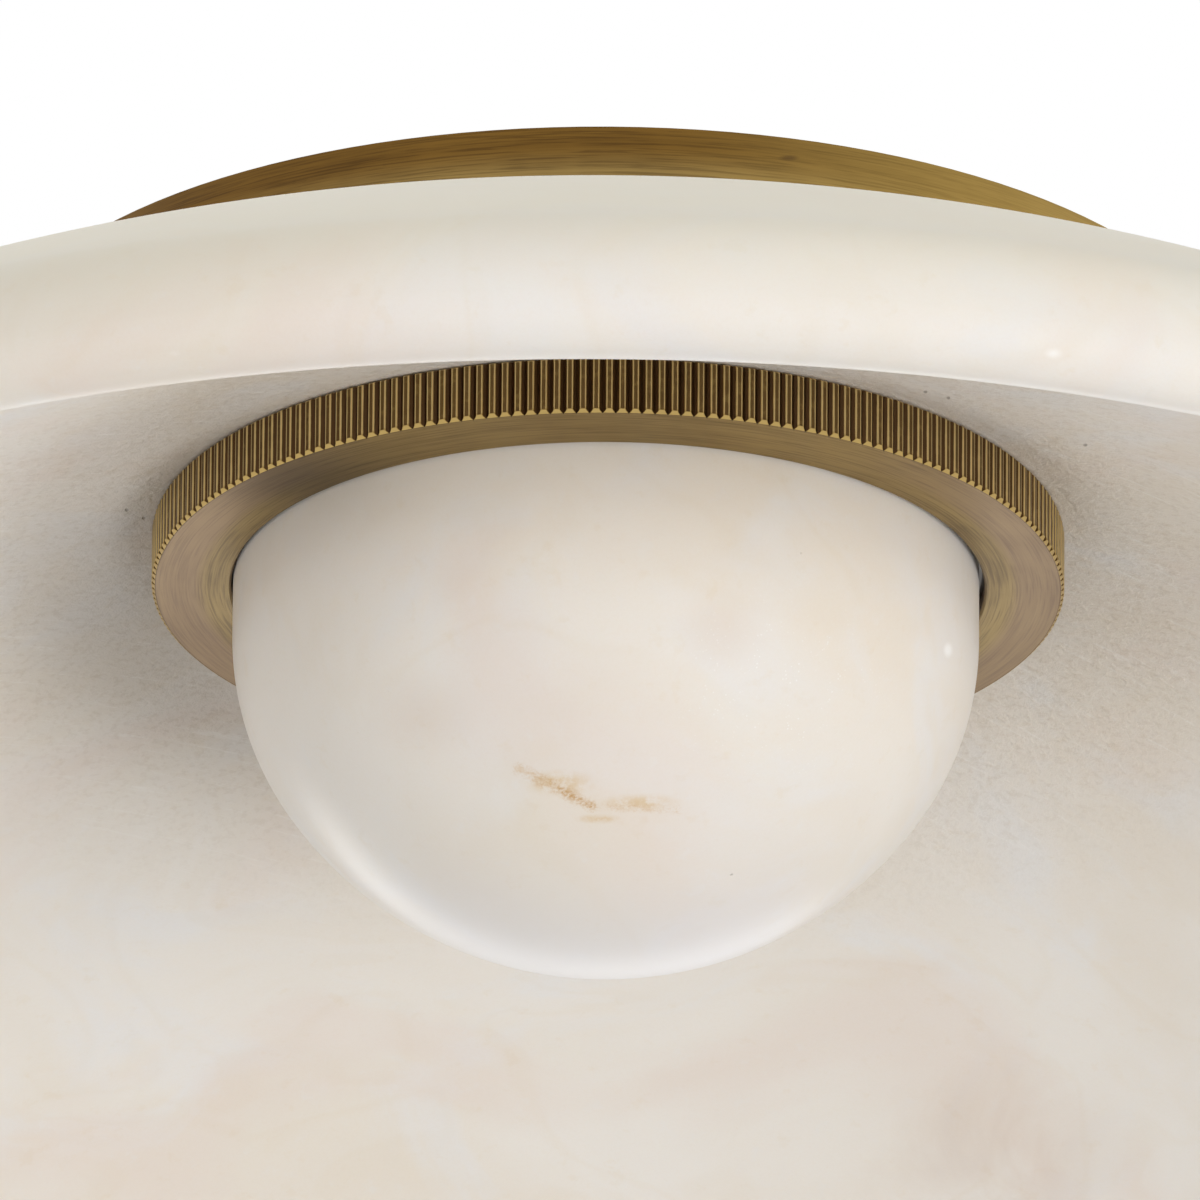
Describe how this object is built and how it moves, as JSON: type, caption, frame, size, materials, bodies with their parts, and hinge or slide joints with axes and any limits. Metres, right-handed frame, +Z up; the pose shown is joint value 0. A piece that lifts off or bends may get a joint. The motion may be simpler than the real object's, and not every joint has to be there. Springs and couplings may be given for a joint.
{
  "type": "flush mount ceiling light",
  "caption": "Flush ceiling light: round brass canopy, deep inverted alabaster dish, and an alabaster dome held by a coin-edged screw ring over a light-emitting board.",
  "frame": {"origin": "centre of the canopy's open rim and of the mounting bracket's top face, in the plane of the ceiling", "axes": "+Z up into the ceiling, along the light's axis; the bracket's arms and the canopy's two side screws lie along X; the terminal block is towards +Y"},
  "size_m": [0.457, 0.457, 0.1025],
  "materials": {
    "antique_brass": "brushed antique brass with a brown patina, lacquered",
    "plain_brass": "turned, unlacquered brass",
    "zinc_steel": "zinc-plated steel",
    "dish_alabaster": "honed alabaster, milky with faint beige and grey clouds",
    "dome_alabaster": "polished alabaster, milky with beige clouds and a rust vein",
    "grey_felt": "pressed felt",
    "cork": "pressed cork",
    "natural_nylon": "unpigmented nylon",
    "black_plastic": "moulded black plastic",
    "ivory_plastic": "moulded ivory plastic",
    "tinned_copper": "tinned copper",
    "green_steel": "green-dyed zinc on steel",
    "green_insulation": "flexible plastic insulation",
    "black_insulation": "flexible plastic insulation",
    "white_insulation": "flexible plastic insulation",
    "red_insulation": "flexible plastic insulation",
    "plain_aluminium": "turned aluminium",
    "black_rubber": "moulded rubber",
    "green_board": "solder-masked circuit board",
    "white_board": "white solder mask on an aluminium board",
    "thermal_pad": "soft thermal pad",
    "yellow_phosphor": "phosphor over the chips",
    "clear_silicone": "translucent silicone",
    "brown_fibre": "vulcanised fibre"
  },
  "bodies": {
    "fixture": {"ceiling_canopy": "antique_brass", "mounting_bracket": "zinc_steel", "canopy_side_screws": "antique_brass", "reinforcing_plate": "zinc_steel", "top_gasket": "grey_felt", "alabaster_dish": "dish_alabaster", "hub_bushing": "natural_nylon", "threaded_nipple": "plain_brass", "upper_washer": "zinc_steel", "upper_lock_nut": "zinc_steel", "lower_gasket": "cork", "gallery": "plain_brass", "lower_washer": "zinc_steel", "lower_lock_nut": "zinc_steel", "nipple_bushings": "black_plastic", "terminal_block": "ivory_plastic", "terminal_screws": "plain_brass", "ground_lug": "tinned_copper", "ground_screw": "green_steel", "bracket_ground_screw": "green_steel", "ground_wire": "green_insulation", "line_wire": "black_insulation", "neutral_wire": "white_insulation", "standoffs": "plain_aluminium", "heat_sink": "plain_aluminium", "sink_screws": "zinc_steel", "sink_grommet": "black_rubber", "driver_case": "black_plastic", "driver_board": "green_board", "driver_lid": "black_plastic", "driver_screws": "zinc_steel", "thermal_pad": "thermal_pad", "led_board": "white_board", "led_chips": "yellow_phosphor", "led_connector": "ivory_plastic", "board_screws": "zinc_steel", "led_wire_positive": "red_insulation", "led_wire_negative": "black_insulation"},
    "dome": {"dome_gasket": "clear_silicone", "alabaster_dome": "dome_alabaster", "slip_washer": "brown_fibre"},
    "ring": {"knurled_ring": "antique_brass"}
  },
  "joints": [
    {"name": "dome_drop", "type": "slide", "parent": "fixture", "child": "dome", "axis": [0, 0, -1], "range_m": [0, 0.005]},
    {"name": "ring_turn", "type": "hinge", "parent": "dome", "child": "ring", "pos_m": [0, 0, -0.0338], "axis": [0, 0, -1], "range_deg": [0, 900]}
  ],
  "couplings": [
    {"joint": "dome_drop", "follows": "ring_turn", "m_per_rad": 0.0003183}
  ]
}
